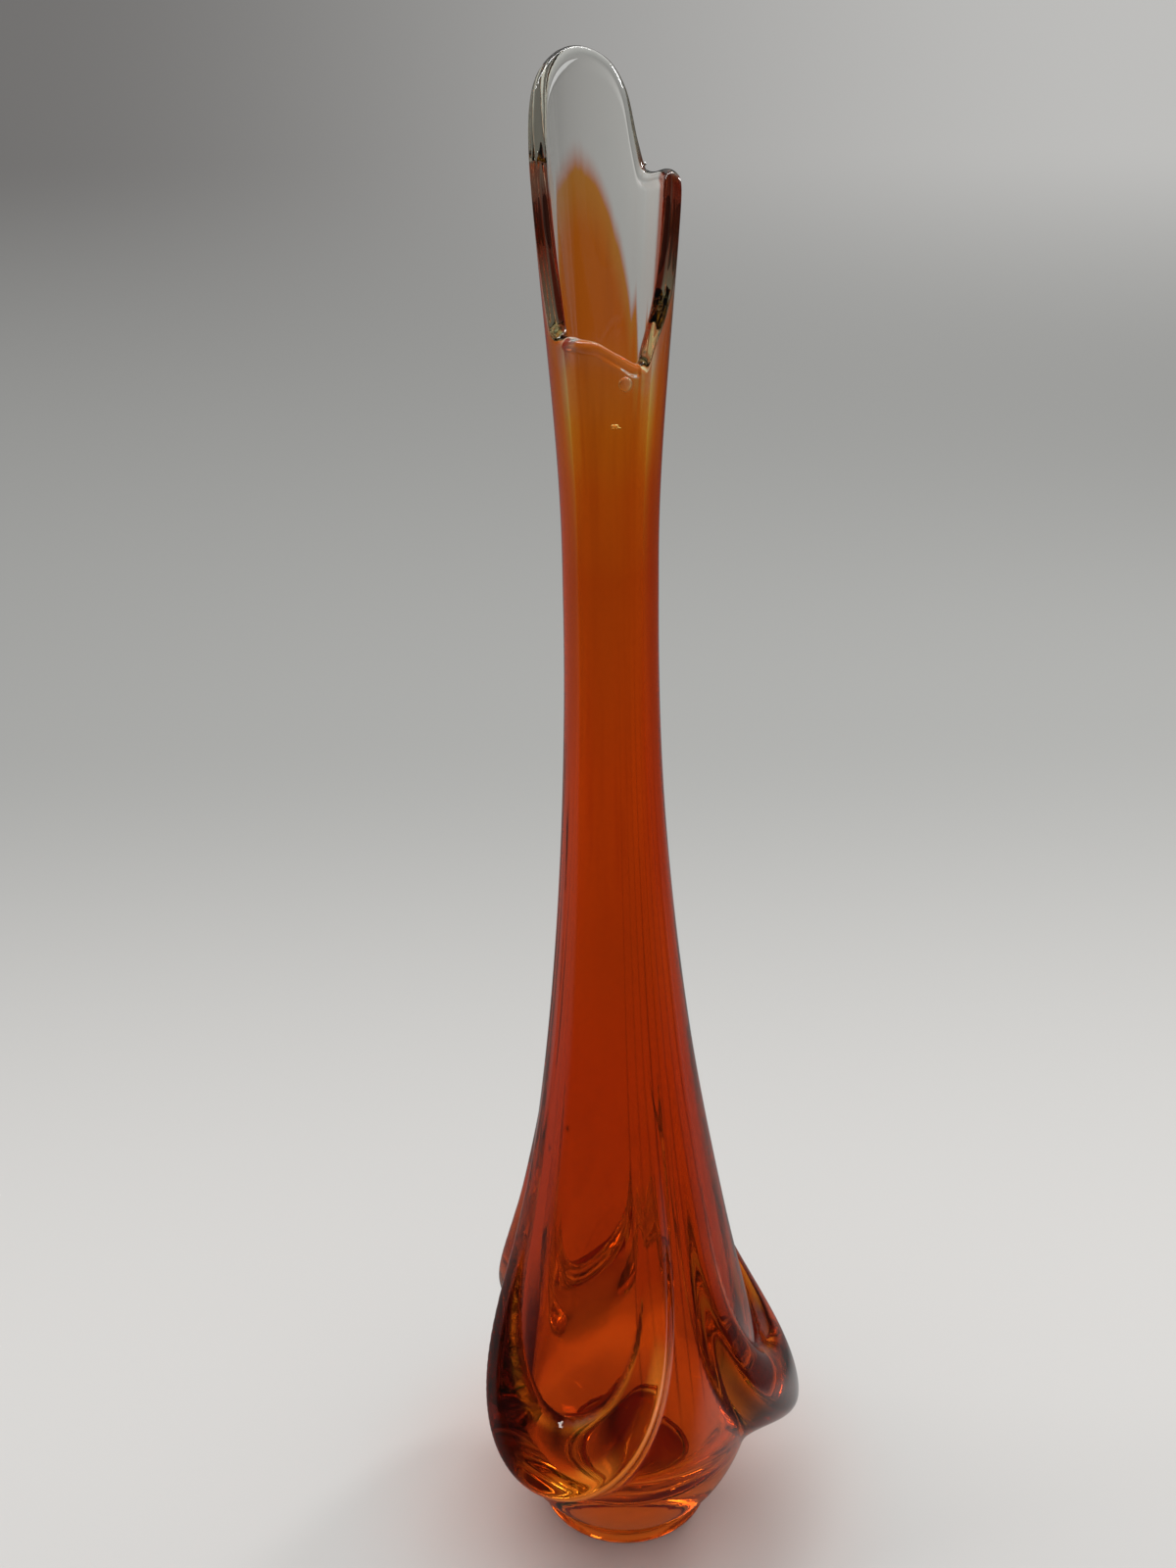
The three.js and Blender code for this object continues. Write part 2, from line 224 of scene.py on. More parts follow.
def rim_height(azimuth):
    """Height of the rim: a smooth closed curve through its places."""
    places = np.concatenate([RIM_SHARES[-2:] - [1, 0], RIM_SHARES, RIM_SHARES[:3] + [1, 0]])
    turn, rise = places.T
    slope = np.gradient(rise, turn)
    slope[1:-1] = (rise[2:] - rise[:-2]) / (turn[2:] - turn[:-2])
    share = np.mod(azimuth / (2 * np.pi) - turn[2], 1) + turn[2]
    at = np.clip(np.searchsorted(turn, share, side="right") - 1, 0, len(turn) - 2)
    span = turn[at + 1] - turn[at]
    t = (share - turn[at]) / span
    climb = (3 - 2 * t) * t**2 * (rise[at + 1] - rise[at])
    leave = t * (1 - t) ** 2 * span * slope[at]
    arrive = t**2 * (1 - t) * span * slope[at + 1]
    return lerp(LOWEST_RIM, TIP_HEIGHT, rise[at] + climb + leave - arrive)


def arc(centre_radius, centre_height, radius, start, end, steps):
    """Points of an arc as (radius, height) pairs, the same at each azimuth."""
    turns = np.radians(np.linspace(start, end, steps))
    return [(centre_radius + radius * math.cos(t), centre_height + radius * math.sin(t)) for t in turns]


def foot_section():
    """Rows of the foot from near the middle of its underside to the fillet under the bowl."""
    edge = FOOT_RADIUS - FOOT_EDGE_ROUND
    under = [(edge * share, 0) for share in UNDERSIDE_RINGS]
    low = arc(edge, FOOT_EDGE_ROUND, FOOT_EDGE_ROUND, -90, 0, FOOT_EDGE_STEPS)
    high = arc(edge, FOOT_HEIGHT - FOOT_EDGE_ROUND, FOOT_EDGE_ROUND, 0, 90, FOOT_EDGE_STEPS)
    return under + low + high


def outer_rows(azimuth, rim_middle):
    """Rows of the outside, from the foot up to the widest line of the rim."""
    rows = [(np.full_like(azimuth, r), np.full_like(azimuth, z)) for r, z in foot_section()]
    foils_low = FOIL_SHOULDER - (FOIL_SHOULDER - LIP_BOTTOM) * FOIL_STRETCHES.max()
    bowl = lerp(FOOT_HEIGHT, foils_low, np.linspace(0, 1, BOWL_ROWS) ** CLOSENESS_POWER)
    foils = np.linspace(foils_low, FOIL_SHOULDER, FOIL_ROWS)[1:]
    neck = np.linspace(FOIL_SHOULDER, PETAL_START, NECK_ROWS)[1:]
    levels = [np.full_like(azimuth, z) for z in [*bowl, *foils, *neck]]
    petals = [lerp(PETAL_START, rim_middle, share) for share in np.linspace(0, 1, PETAL_ROWS)[1:]]
    return rows + [(outer_radius(azimuth, z), z) for z in levels + petals]


def rim_rows(azimuth, rim_middle):
    """Rows of the fire-polished edge, round from the outside to the inside."""
    half_wall = (NECK_WALL + RIM_BEAD) / 2
    middle = outer_radius(azimuth, rim_middle) - half_wall
    turns = np.linspace(0, np.pi, RIM_ROWS)[1:-1]
    return [(middle + half_wall * np.cos(t), rim_middle + NECK_WALL / 2 * np.sin(t)) for t in turns]


def inner_rows(azimuth, rim_middle):
    """Rows of the hollow, from the rim down to its rounded floor."""
    rows = []
    for share in 1 - np.linspace(0, 1, INNER_PETAL_ROWS) ** CLOSENESS_POWER:
        z = lerp(PETAL_START, rim_middle, share)
        bead = RIM_BEAD * (1 - smooth(rim_middle - z, RIM_BEAD_START, RIM_BEAD_LENGTH))
        rows.append((hollow_radius(z) - bead, z))
    bowl_low = FLOOR_HEIGHT + FLOOR_ROUND
    neck = np.linspace(PETAL_START, FOIL_SHOULDER, INNER_NECK_ROWS)[1:]
    bowl = np.linspace(FOIL_SHOULDER, bowl_low, INNER_BOWL_ROWS)[1:]
    floor = bowl_low - FLOOR_ROUND * np.sin(np.linspace(0, np.pi / 2, FLOOR_ROWS))[1:-1]
    levels = [np.full_like(azimuth, z) for z in [*neck, *bowl, *floor]]
    return rows + [(hollow_radius(z), z) for z in levels]


def skin_faces(rows):
    """Quads between neighbouring rings, with a fan in the underside and one on the floor of the hollow."""
    ring = np.arange(COLUMNS)
    after = np.roll(ring, -1)
    faces = []
    for row in range(rows - 1):
        low, high = row * COLUMNS, (row + 1) * COLUMNS
        faces += np.stack([low + ring, low + after, high + after, high + ring], axis=-1).tolist()
    last, under, floor = (rows - 1) * COLUMNS, rows * COLUMNS, rows * COLUMNS + 1
    for a, b in zip(ring.tolist(), after.tolist()):
        faces += [[under, b, a], [last + a, last + b, floor]]
    return faces


def bubble_skin(azimuth, height, width, length, thickness):
    """Points and faces of an air bubble in the middle of the wall, facing into its air."""
    turn = math.radians(azimuth)
    at = np.full(1, height)
    reach = (outer_radius(np.full(1, turn), at)[0] + hollow_radius(at)[0]) / 2
    out = np.array([math.sin(turn), -math.cos(turn), 0])
    side = np.array([math.cos(turn), math.sin(turn), 0])
    middle = out * reach + [lean_at(height), 0, height]
    polar = np.linspace(0, np.pi, BUBBLE_SEGMENTS // 2 + 1)[1:-1, None]
    around = np.linspace(0, 2 * np.pi, BUBBLE_SEGMENTS, endpoint=False)[None, :]
    shares = np.stack([np.sin(polar) * np.cos(around), np.sin(polar) * np.sin(around),
                       np.cos(polar) * np.ones_like(around)], axis=-1).reshape(-1, 3)
    shares = np.concatenate([shares, [[0, 0, 1], [0, 0, -1]]]) / 2
    points = middle + shares @ np.stack([side * width, out * thickness, [0, 0, length]])
    rings = len(polar)
    last, top, bottom = (rings - 1) * BUBBLE_SEGMENTS, rings * BUBBLE_SEGMENTS, rings * BUBBLE_SEGMENTS + 1
    faces = []
    for step in range(BUBBLE_SEGMENTS):
        after = (step + 1) % BUBBLE_SEGMENTS
        for low in range(0, last, BUBBLE_SEGMENTS):
            high = low + BUBBLE_SEGMENTS
            faces += [[low + after, low + step, high + step], [high + after, low + after, high + step]]
        faces += [[top, step, after], [bottom, last + after, last + step]]
    return points, np.array(faces)


def glass_mesh():
    """The whole vase as one closed skin of glass, outside, rim and hollow, with the bubbles in its wall."""
    azimuth = np.linspace(0, 2 * np.pi, COLUMNS, endpoint=False)
    rim_middle = rim_height(azimuth) - NECK_WALL / 2
    outside_rows = outer_rows(azimuth, rim_middle) + rim_rows(azimuth, rim_middle)
    radius, z = np.moveaxis(np.array(outside_rows + inner_rows(azimuth, rim_middle)), 1, 0)
    places = np.stack([lean_at(z) + radius * np.sin(azimuth), -radius * np.cos(azimuth), z], axis=-1)
    points = np.concatenate([places.reshape(-1, 3), [[0, 0, 0], [0, 0, FLOOR_HEIGHT]]])
    faces = skin_faces(len(z))
    for bubble in BUBBLES:
        bubble_points, bubble_faces = bubble_skin(*bubble)
        faces += (bubble_faces + len(points)).tolist()
        points = np.concatenate([points, bubble_points])
    mesh = bpy.data.meshes.new("vase_glass")
    mesh.from_pydata(points.tolist(), [], faces)
    mesh.polygons.foreach_set("use_smooth", [True] * len(mesh.polygons))
    mark_places(mesh, azimuth, z)
    mesh.update()
    return mesh


def mark_places(mesh, azimuth, z):
    """Write down for the material where each point of the skin lies. After the rings of the skin come the
    middle of the underside, the middle of the hollow's floor and the bubbles."""
    bubble_points = len(mesh.vertices) - z.size - 2

    def mark(name, skin, under=0, floor=0, bubbles=0):
        values = [*skin.ravel(), under, floor, *[bubbles] * bubble_points]
        attribute = mesh.attributes.new(name, "FLOAT", "POINT")
        attribute.data.foreach_set("value", np.asarray(values, dtype=np.float32))

    rows = np.arange(len(z))
    outside = (rows <= np.argmax(z.max(axis=1)))[:, None] * np.ones(COLUMNS)
    mark("outside", outside, under=1)
    mark("inside", 1 - outside, floor=1)
    mark("below_rim", rim_height(azimuth) - z, under=TIP_HEIGHT, floor=TIP_HEIGHT, bubbles=TIP_HEIGHT)
    dish_edge, across, nose, angle, foil = nearest_foil_places(np.broadcast_to(azimuth, z.shape), z)
    # The lips' painted light and painted shade
    amber, dark = lip_painted_light_and_shade(across, nose, angle, foil)
    mark("dish_edge", dish_edge)
    mark("nose", nose)
    mark("lip_amber", amber)
    mark("lip_dark", dark)


def nearest_foil_places(azimuth, z):
    """Where each place lies on its nearest foil: how far out in the dish, across the lip, round to the
    nose, and at which angle from the middle; the last tells which foil it is."""
    angles = np.stack([angle_from(azimuth, middle) for middle in FOIL_AZIMUTHS])
    inner, outer, across, nose = foil_places(angles, z[None], FOIL_STRETCHES[:, None, None])
    nearest = np.argmin(outer, axis=0)[None]
    marks = [np.take_along_axis(share, nearest, axis=0)[0] for share in (inner, across, nose, angles)]
    return [*marks, nearest[0]]


# How strong the painted shade is at the noses of the front, right and back foil and under the front lip's
# dish, and how strong the amber painted light is beside a nose
NOSE_PAINTED_SHADE = np.array([1.0, 1.0, 0.6])
UNDER_DISH_PAINTED_SHADE = 0.45
BESIDE_NOSE_PAINTED_LIGHT = 0.25


def lip_painted_light_and_shade(across, nose, angle, foil):
    """How much amber painted light and how much dark painted shade the lips get, from 0 to 1. The front
    foil's lip has painted shade at its left and, weaker, under its dish, and amber painted light along its
    crest; the others have painted shade at the nose, with amber painted light beside it. Each soft step says
    from where to where a tone comes in: across the lip, round to the nose, or by angle."""
    on_lip = smooth(across, 1.0, 0.88)
    left = on_lip * smooth(-angle, 0.02, 0.20) * smooth(nose, 0.1, 0.5) * smooth(across, 0.0, 0.06)
    under_dish = smooth(across, 0.04, 0.12) * smooth(across, 0.50, 0.35) * smooth(nose, 0.6, 0.85)
    crest = on_lip * smooth(across, 0.40, 0.60) * smooth(angle, 0.0, 0.12) * smooth(nose, 0.3, 0.6)
    turned = np.abs(angle)
    nose_end = on_lip * smooth(across - turned, 0.05, 0.20) * smooth(nose, 0.3, 0.7)
    beside = on_lip * smooth(across, 0.60, 0.80) * smooth(turned, 0.50, 0.65) * smooth(nose, 0.45, 0.65)
    front = foil == FRONT_FOIL
    amber = np.where(front, crest, BESIDE_NOSE_PAINTED_LIGHT * beside)
    front_painted_shade = np.maximum(left, UNDER_DISH_PAINTED_SHADE * under_dish)
    return amber, np.where(front, front_painted_shade, nose_end * NOSE_PAINTED_SHADE[foil])


class Shade:
    """A value in a material's nodes, so that shader maths reads as plain sums."""

    def __init__(self, tree, socket):
        self.tree = tree
        self.socket = socket

    def math(self, operation, *values):
        return make(self.tree, "ShaderNodeMath", {"operation": operation}, dict(enumerate(values)))

    def __add__(self, other):
        return self.math("ADD", self, other)

    __radd__ = __add__

    def __sub__(self, other):
        return self.math("SUBTRACT", self, other)

    def __rsub__(self, other):
        return self.math("SUBTRACT", other, self)

    def __mul__(self, other):
        return self.math("MULTIPLY", self, other)

    __rmul__ = __mul__

    def __truediv__(self, other):
        return self.math("DIVIDE", self, other)

    def __pow__(self, other):
        return self.math("POWER", self, other)

    def bell(self, middle, width):
        """1 at the middle, fading to both sides over a width."""
        return self.math("EXPONENT", ((self - middle) / width) ** 2 * -1)

    def bells(self, places):
        """The sum of several bells, each a middle and a width."""
        return sum(self.bell(*place) for place in places)

    def step(self, low, high):
        """0 below low, 1 above high, soft between; low may lie above high to turn it round."""
        settings = {"interpolation_type": "SMOOTHSTEP"}
        inputs = {"Value": self, "From Min": low, "From Max": high}
        return make(self.tree, "ShaderNodeMapRange", settings, inputs)


def make(tree, kind, settings=None, inputs=None, output=0):
    """A node with its settings, then its inputs; gives one of its outputs."""
    node = tree.nodes.new(kind)
    for name, value in (settings or {}).items():
        if name == "stops":
            fill_ramp(node.color_ramp, value)
        else:
            setattr(node, name, value)
    for name, value in (inputs or {}).items():
        if isinstance(value, Shade):
            tree.links.new(value.socket, node.inputs[name])
        else:
            node.inputs[name].default_value = value
    return Shade(tree, node.outputs[output]) if node.outputs else None


def fill_ramp(ramp, stops):
    while len(ramp.elements) < len(stops):
        ramp.elements.new(0.5)
    for element, (place, colour) in zip(ramp.elements, stops):
        element.position = place
        element.color = (*colour, 1)


def mix_colours(share, low, high):
    """Mix of two colours by a share; each may be a link or a plain (red, green, blue). A Mix node takes its
    colours in sockets 6 and 7 and gives the result in socket 2."""
    low, high = (colour if isinstance(colour, Shade) else (*colour, 1) for colour in (low, high))
    return make(share.tree, "ShaderNodeMix", {"data_type": "RGBA"}, {0: share, 6: low, 7: high}, output=2)


def parts(place):
    """The three numbers of a place or a direction."""
    inputs = {"Vector": place}
    return [make(place.tree, "ShaderNodeSeparateXYZ", inputs=inputs, output=axis) for axis in "XYZ"]


def light_path(tree, kind):
    return make(tree, "ShaderNodeLightPath", output=kind)


def new_material(name):
    material = bpy.data.materials.new(name)
    material.use_nodes = True
    material.node_tree.nodes.clear()
    return material, material.node_tree


# Tints of the glass by height in metres. All of the tint is in the outer face, so that a ray that stays
# inside the wall is tinted as deeply as one that crosses the hollow.
FRONT_TINTS = (
    (0.000, (0.36, 0.050, 0.007)),
    (0.018, (0.50, 0.080, 0.010)),
    (0.042, (0.53, 0.060, 0.003)),
    (0.058, (0.44, 0.036, 0.0013)),
    (0.072, (0.33, 0.021, 0.0008)),
    (0.090, (0.25, 0.014, 0.0005)),
    (0.112, (0.40, 0.026, 0.0007)),
    (0.155, (0.42, 0.026, 0.0006)),
    (0.193, (0.465, 0.0285, 0.0005)),
    (0.228, (0.49, 0.040, 0.0006)),
    (0.293, (0.63, 0.060, 0.0008)),
    (0.353, (0.60, 0.11, 0.0035)),
    (0.381, (0.82, 0.29, 0.016)),
    (0.398, (0.96, 0.65, 0.06)),
    (0.412, (0.97, 0.85, 0.35)),
)
BACK_TINTS = (
    (0.000, (0.62, 0.13, 0.016)),
    (0.025, (0.68, 0.13, 0.012)),
    (0.042, (0.56, 0.070, 0.004)),
    (0.060, (0.42, 0.032, 0.0012)),
    (0.130, (0.42, 0.026, 0.0005)),
    (0.180, (0.465, 0.0285, 0.0004)),
    (0.215, (0.50, 0.036, 0.0004)),
    (0.280, (0.85, 0.067, 0.0007)),
    (0.337, (0.89, 0.070, 0.0007)),
    (0.370, (0.90, 0.056, 0.0004)),
    (0.420, (0.84, 0.040, 0.0002)),
    (0.455, (0.80, 0.055, 0.0004)),
)
NO_TINT = (1, 1, 1)
CLEAR_TINT = (0.93, 0.935, 0.92)
FRONT_FADING_TINT = (0.97, 0.80, 0.30)
BACK_FADING_TINT = (0.74, 0.13, 0.004)
STREAK_TINT = (0.45, 0.020, 0.0003)
NECK_SIDE_TINT = (0.30, 0.010, 0.0002)
MAROON_TINT = (0.60, 0.030, 0.002)
INNER_MAROON_TINT = (0.45, 0.060, 0.030)

# One even, faint olive depth for all of the glass
DEPTH_TINT = (0.80, 0.80, 0.45, 1)
DEPTH_PER_METRE = 12.0
GLASS_IOR = 1.5

# Noise of the glass: streaks drawn out along the neck, soft clouds, and how far they move the colour's ends
STREAK_SCALE = 260
STREAK_SQUEEZE = (1, 1, 0.03)
STREAK_DRIFT = 0.006
STREAK_CONTRAST = (0.45, 0.75)
STREAK_BUMP = 0.03
STREAK_BUMP_DISTANCE = 0.0006
CLOUD_SCALE = 70
CLOUD_SQUEEZE = (1, 1, 0.4)
CLOUD_DRIFT = 0.012
NOISE_DETAIL = 3

# How high the struck colour reaches, in millimetres, at azimuths in degrees: a tall tongue at the back, and
# both edges of the mouth
STRUCK_HEIGHTS = (
    (0, 418), (20, 418), (37, 414), (46, 418), (60, 432), (75, 450), (92, 466), (104, 458), (112, 434),
    (120, 414), (127, 412), (132, 429), (137, 412), (143, 415), (149, 432), (154, 426), (161, 437),
    (170, 447), (183, 460), (193, 465), (207, 469), (222, 465.5), (232, 461), (237, 446), (246, 428),
    (254, 424), (260, 442), (268, 460), (282, 460), (292, 440), (300, 418), (360, 418),
)
STRUCK_LOW = 400
STRUCK_SPAN = 80
STRUCK_FADE = (-0.003, 0.006)
RIPE_FADE = (0.0, 0.022)

# Clear band under the rim, by distance below it; it reaches further down at the low ends of the rim, and
# the colour covers it at both edges of the mouth. Places are azimuths and half widths in degrees.
CLEAR_BAND = (0.003, 0.0065)
LOW_RIM_PLACES = ((45, 22), (-58, 16))
LOW_RIM_CLEAR = 0.004
COLOURED_RIM_PLACES = ((-79, 14), (97, 24))

# Where the tints lie: azimuths in degrees, or heights in metres, from where a tint starts to where it is
# full; a place is an azimuth and a half width
FRONT_TO_BACK = (50, 90)
STREAKS_UP = (0.20, 0.26)
STREAKS_SHARE = 0.35
MAROON_PLACES = ((97, 15), (-79, 12))
MAROON_UP = (0.405, 0.425)
NECK_SIDE_PLACE = (55, 20)
NECK_SIDE_UP = (0.225, 0.265)
NECK_SIDE_DOWN = (0.41, 0.37)
NECK_SIDE_SHARE = 0.65
INNER_MAROON_UP = (0.411, 0.419)
INNER_RIGHT_SIDE = ((38, 46), (116, 108))
INNER_LEFT_SIDE = ((-96, -90), (-46, -54))
INNER_LEFT_DOWN = (0.465, 0.457)

# The pale spot round the first bubble, and dark specks as azimuth and height
PALE_SPOT_AZIMUTH, PALE_SPOT_HEIGHT = BUBBLES[0][:2]
PALE_SPOT_HALF_ANGLE = 7
PALE_SPOT_HALF_LENGTH = 0.0026
PALE_SPOT_TINT = (0.98, 0.93, 0.70)
PALE_SPOT_SHARE = 0.75
PALE_SPOT_ROUGHNESS = 0.5
SPECKS = ((-38.6, 0.1721), (-54.1, 0.1615))
SPECK_HALF_ANGLE = 1.5
SPECK_HALF_LENGTH = 0.0010
SPECK_TINT = (0.003, 0.001, 0.001)

# Draw lines that the colour shows, as azimuth, half width in degrees and strength
COLOUR_LINES = (
    (8, 0.5, 0.6), (15, 0.6, 0.4), (21, 0.6, 0.5), (27, 0.7, 0.9), (34, 0.5, 0.7), (40, 0.5, 0.8),
    (47, 0.55, 0.7), (54, 0.7, 0.8), (-66, 0.6, 0.5), (-72, 0.6, 0.5),
)
COLOUR_LINE_TINT = (0.04, 0.002, 0.0005)
COLOUR_LINES_UP = (0.055, 0.09)
COLOUR_LINES_DOWN = (0.40, 0.16)

# Lips' amber painted light and dark painted shade, and a painted highlight and a painted shade line along
# the low crease of each dish; 1 is the crease
LIP_PAINTED_LIGHT_TINT = (0.97, 0.36, 0.045)
LIP_PAINTED_SHADE_TINT = (0.020, 0.0004, 0.0003)
LOW_CREASE = (0.1, 0.7)
# Painted highlight just outside the crease
CREASE_HIGHLIGHT_PLACE = (1.030, 0.014)
CREASE_HIGHLIGHT_TINT = (0.80, 0.24, 0.02)
CREASE_HIGHLIGHT_SHARE = 0.8
# Painted shade on the crease
CREASE_PAINTED_SHADE_PLACE = (0.996, 0.010)
CREASE_PAINTED_SHADE_TINT = (0.13, 0.008, 0.002)
CREASE_PAINTED_SHADE_SHARE = 0.9


class GlassPlace:
    """A point of the glass as its material sees it: azimuth in degrees, height, noise and marks."""

    def __init__(self, tree):
        self.tree = tree
        self.place = make(tree, "ShaderNodeTexCoord", output="Object")
        x, y, self.z = parts(self.place)
        from_axis = x - LEAN_REACH
        self.azimuth = from_axis.math("ARCTAN2", from_axis, -1 * y) * (180 / math.pi)
        self.streaks = self.noise(STREAK_SQUEEZE, STREAK_SCALE)
        self.clouds = (self.noise(CLOUD_SQUEEZE, CLOUD_SCALE) - 0.5) * CLOUD_DRIFT

    def noise(self, squeeze, scale):
        squeezed = make(self.tree, "ShaderNodeMapping", inputs={"Vector": self.place, "Scale": squeeze})
        inputs = {"Vector": squeezed, "Scale": scale, "Detail": NOISE_DETAIL}
        return make(self.tree, "ShaderNodeTexNoise", inputs=inputs)

    def marked(self, name):
        return make(self.tree, "ShaderNodeAttribute", {"attribute_name": name}, output="Fac")

    def ramp(self, place, stops):
        return make(self.tree, "ShaderNodeValToRGB", {"stops": stops}, {"Fac": place})


def struck_shares(at):
    """How far the colour is struck, outside the clear band, and how ripe it is, both from 0 to 1."""
    turn = at.azimuth.math("WRAP", at.azimuth, 360, 0) / 360
    stops = [(place / 360, ((height - STRUCK_LOW) / STRUCK_SPAN,) * 3) for place, height in STRUCK_HEIGHTS]
    reach = at.ramp(turn, stops) * (STRUCK_SPAN / 1000) + STRUCK_LOW / 1000
    room = reach + (at.streaks - 0.5) * STREAK_DRIFT - at.z
    below_rim = at.marked("below_rim") - at.azimuth.bells(LOW_RIM_PLACES) * LOW_RIM_CLEAR
    coloured = below_rim.step(*CLEAR_BAND)
    for place in COLOURED_RIM_PLACES:
        coloured = coloured.math("MAXIMUM", coloured, at.azimuth.bell(*place))
    return room.step(*STRUCK_FADE) * coloured, (room + at.clouds).step(*RIPE_FADE)


def body_tint(at):
    """Tint of bowl and neck by height and side, up to the clear glass of the rim."""
    height = (at.z + at.clouds) / TIP_HEIGHT
    front, back = (
        at.ramp(height, [(level / TIP_HEIGHT, tint) for level, tint in tints])
        for tints in (FRONT_TINTS, BACK_TINTS)
    )
    behind = at.azimuth.math("ABSOLUTE", at.azimuth).step(*FRONT_TO_BACK)
    streaked = at.streaks.step(*STREAK_CONTRAST) * at.z.step(*STREAKS_UP) * STREAKS_SHARE
    ripe = mix_colours(streaked, mix_colours(behind, front, back), STREAK_TINT)
    struck, ripeness = struck_shares(at)
    tint = mix_colours(ripeness, mix_colours(behind, FRONT_FADING_TINT, BACK_FADING_TINT), ripe)
    maroon = at.azimuth.bells(MAROON_PLACES) * at.z.step(*MAROON_UP)
    tint = mix_colours(maroon, tint, MAROON_TINT)
    neck_side = at.azimuth.bell(*NECK_SIDE_PLACE) * at.z.step(*NECK_SIDE_UP) * at.z.step(*NECK_SIDE_DOWN)
    tint = mix_colours(neck_side * NECK_SIDE_SHARE, tint, NECK_SIDE_TINT)
    return mix_colours(struck, CLEAR_TINT, tint)


def pale_spot(at):
    around = at.azimuth.bell(PALE_SPOT_AZIMUTH, PALE_SPOT_HALF_ANGLE)
    return around * at.z.bell(PALE_SPOT_HEIGHT, PALE_SPOT_HALF_LENGTH) * at.marked("outside")


def spotted(at, tint, pale):
    """The tint with its pale spot, dark specks and draw lines."""
    tint = mix_colours(pale * PALE_SPOT_SHARE, tint, PALE_SPOT_TINT)
    specks = sum(
        at.azimuth.bell(place, SPECK_HALF_ANGLE) * at.z.bell(height, SPECK_HALF_LENGTH)
        for place, height in SPECKS
    )
    tint = mix_colours(specks, tint, SPECK_TINT)
    lines = sum(at.azimuth.bell(place, width) * strength for place, width, strength in COLOUR_LINES)
    along = at.z.step(*COLOUR_LINES_UP) * at.z.step(*COLOUR_LINES_DOWN)
    return mix_colours(lines * along, tint, COLOUR_LINE_TINT)


def lipped(at, tint):
    """The tint with the lips' dark painted shade and amber painted light, and with a painted highlight and a
    painted shade line along the crease of each dish.
    """
    # Painted shade on the lips, then amber painted light
    tint = mix_colours(at.marked("lip_dark"), tint, LIP_PAINTED_SHADE_TINT)
    tint = mix_colours(at.marked("lip_amber"), tint, LIP_PAINTED_LIGHT_TINT)
    dish_edge = at.marked("dish_edge")
    low = at.marked("nose").step(*LOW_CREASE)
    # A painted highlight and a painted shade line along the low crease
    glow = dish_edge.bell(*CREASE_HIGHLIGHT_PLACE) * low * CREASE_HIGHLIGHT_SHARE
    shade = dish_edge.bell(*CREASE_PAINTED_SHADE_PLACE) * low * CREASE_PAINTED_SHADE_SHARE
    return mix_colours(shade, mix_colours(glow, tint, CREASE_HIGHLIGHT_TINT), CREASE_PAINTED_SHADE_TINT)


def inner_maroon(at):
    """Where the hollow's face is maroon, at both sides of the mouth."""
    (right_in, right_out), (left_in, left_out) = INNER_RIGHT_SIDE, INNER_LEFT_SIDE
    right = at.azimuth.step(*right_in) * at.azimuth.step(*right_out)
    left = at.azimuth.step(*left_in) * at.azimuth.step(*left_out) * at.z.step(*INNER_LEFT_DOWN)
    return at.marked("inside") * (right + left) * at.z.step(*INNER_MAROON_UP)


def vase_glass_material():
    """Heat-struck glass: red-orange in bowl and neck, amber below, clear at the rim, with painted light and
    painted shade on the lips and along the crease of each dish.
    """
    material, tree = new_material("heat_struck_glass")
    at = GlassPlace(tree)
    pale = pale_spot(at)
    outside = lipped(at, spotted(at, body_tint(at), pale))
    skin = mix_colours(at.marked("outside"), NO_TINT, outside)
    bump = {"Strength": STREAK_BUMP, "Distance": STREAK_BUMP_DISTANCE, "Height": at.streaks}
    glass = make(tree, "ShaderNodeBsdfPrincipled", {}, {
        "Base Color": mix_colours(inner_maroon(at), skin, INNER_MAROON_TINT),
        "Roughness": pale * PALE_SPOT_ROUGHNESS,
        "IOR": GLASS_IOR,
        "Transmission Weight": 1.0,
        "Normal": make(tree, "ShaderNodeBump", {}, bump),
    })
    depth = make(tree, "ShaderNodeVolumeAbsorption", {}, {"Color": DEPTH_TINT, "Density": DEPTH_PER_METRE})
    make(tree, "ShaderNodeOutputMaterial", {}, {"Surface": glass, "Volume": depth})
    return material


def make_vase():
    glass = bpy.data.objects.new("vase_glass", glass_mesh())
    bpy.context.scene.collection.objects.link(glass)
    glass.data.materials.append(vase_glass_material())
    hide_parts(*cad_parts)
    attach(glass, "root")


def mirrored_rays(tree):
    """Which rays the glass has mirrored: at its face as the last thing, or once or more within it before
    they came out. Rays that light the floor aren't among them."""
    mirrored = light_path(tree, "Is Reflection Ray")
    direct = 1 - light_path(tree, "Is Diffuse Ray")
    once_or_more = light_path(tree, "Glossy Depth").step(0, 1)
    return mirrored * direct, once_or_more * (1 - mirrored) * direct


# Wide plain floor, a hair below the foot so that no two faces share one plane
FLOOR_HALF = 20.0
FLOOR_LEVEL = -0.0002

# Its colours as the camera sees them: near, a warm painted glow round the foot, painted shade behind and far
# to the left, and lighter far to the right; each with the distances in metres from where it starts to where
# it is full
NEAR_FLOOR = (0.58, 0.57, 0.555)
PAINTED_GLOW_FLOOR = (0.60, 0.47, 0.43)
PAINTED_GLOW_FLOOR_IN = (0.11, 0.02)
PAINTED_SHADE_BACK_FLOOR = (0.34, 0.34, 0.33)
BACK_FLOOR_OUT = (0.0, 0.7)
PAINTED_SHADE_FAR_LEFT_FLOOR = (0.20, 0.195, 0.19)
FAR_RIGHT_FLOOR = (0.62, 0.615, 0.60)
FAR_FLOOR_OUT = (1.0, 4.0)
FAR_FLOOR_SLANT = (-0.3, 0.3)

